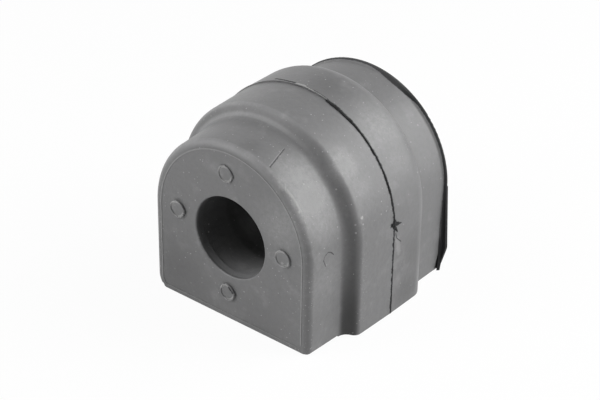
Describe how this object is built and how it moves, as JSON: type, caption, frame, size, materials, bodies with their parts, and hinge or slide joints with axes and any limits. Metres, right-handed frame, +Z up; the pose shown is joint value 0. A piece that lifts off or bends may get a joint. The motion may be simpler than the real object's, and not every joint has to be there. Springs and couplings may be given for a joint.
{
  "type": "stabilizer bar mount",
  "caption": "Solid rubber mount with a flat base and arched back that holds a round bar in its bore under a bracket.",
  "frame": {"origin": "on the flat base, under the bore's axis, halfway between the front and rear faces", "axes": "+Z up from the flat base, +Y along the bore from the nose to the lip at the rear, +X to the right seen from the nose"},
  "size_m": [0.0554, 0.0517, 0.0513],
  "materials": {
    "rubber": "satin moulded rubber with dust and faint bloom"
  },
  "bodies": {
    "root": {"rubber_mount": "rubber"}
  },
  "joints": []
}
